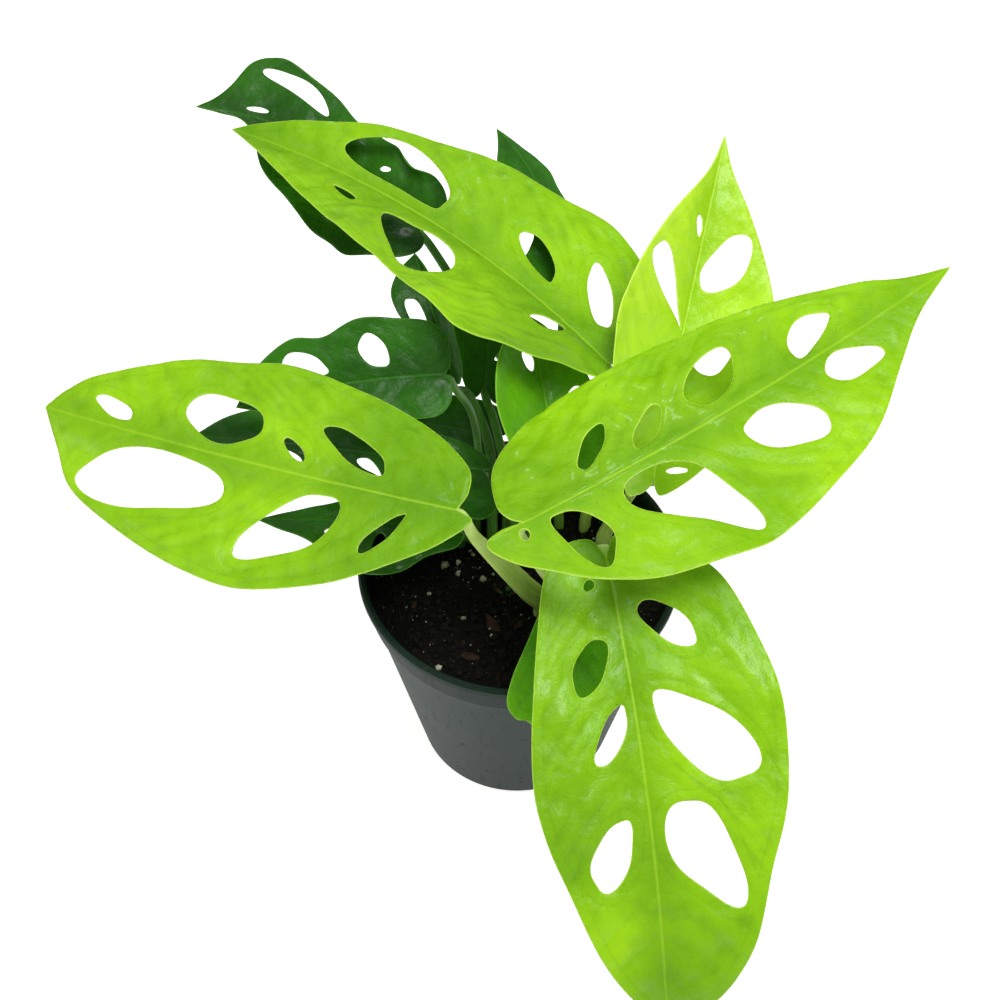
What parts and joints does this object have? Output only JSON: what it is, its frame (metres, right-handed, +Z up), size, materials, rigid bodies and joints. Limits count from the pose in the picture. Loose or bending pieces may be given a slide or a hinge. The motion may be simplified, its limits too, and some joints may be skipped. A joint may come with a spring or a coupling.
{
  "type": "potted swiss cheese plant",
  "caption": "Small house plant with bright, oval, holed leaves on slim stalks that arch out over a round plastic nursery pot filled with soil",
  "frame": {"origin": "middle of the flat underside of the pot, on the surface that it stands on", "axes": "+Z up along the pot's axis; the front leaf hangs over the rim towards -Y, where the picture is taken from; +X is to the right as seen from there"},
  "size_m": [0.2865, 0.312, 0.1943],
  "materials": {
    "pot": "slate green moulded plastic, slightly satin",
    "soil": null,
    "leaf_bright": null,
    "leaf_middle": null,
    "leaf_dark": null
  },
  "bodies": {
    "root": {"pot": "pot", "soil": "soil", "leaf_left": "leaf_bright", "leaf_top": "leaf_bright", "leaf_right": "leaf_bright", "leaf_front": "leaf_bright", "leaf_upright": "leaf_bright", "leaf_back_left": "leaf_dark", "leaf_back": "leaf_dark", "leaf_mid_left": "leaf_dark", "leaf_mid": "leaf_middle", "leaf_back_low": "leaf_dark", "leaf_centre": "leaf_dark", "leaf_under_left": "leaf_dark", "leaf_back_low_left": "leaf_dark", "leaf_hidden": "leaf_dark", "leaf_rim": "leaf_middle"}
  },
  "joints": []
}
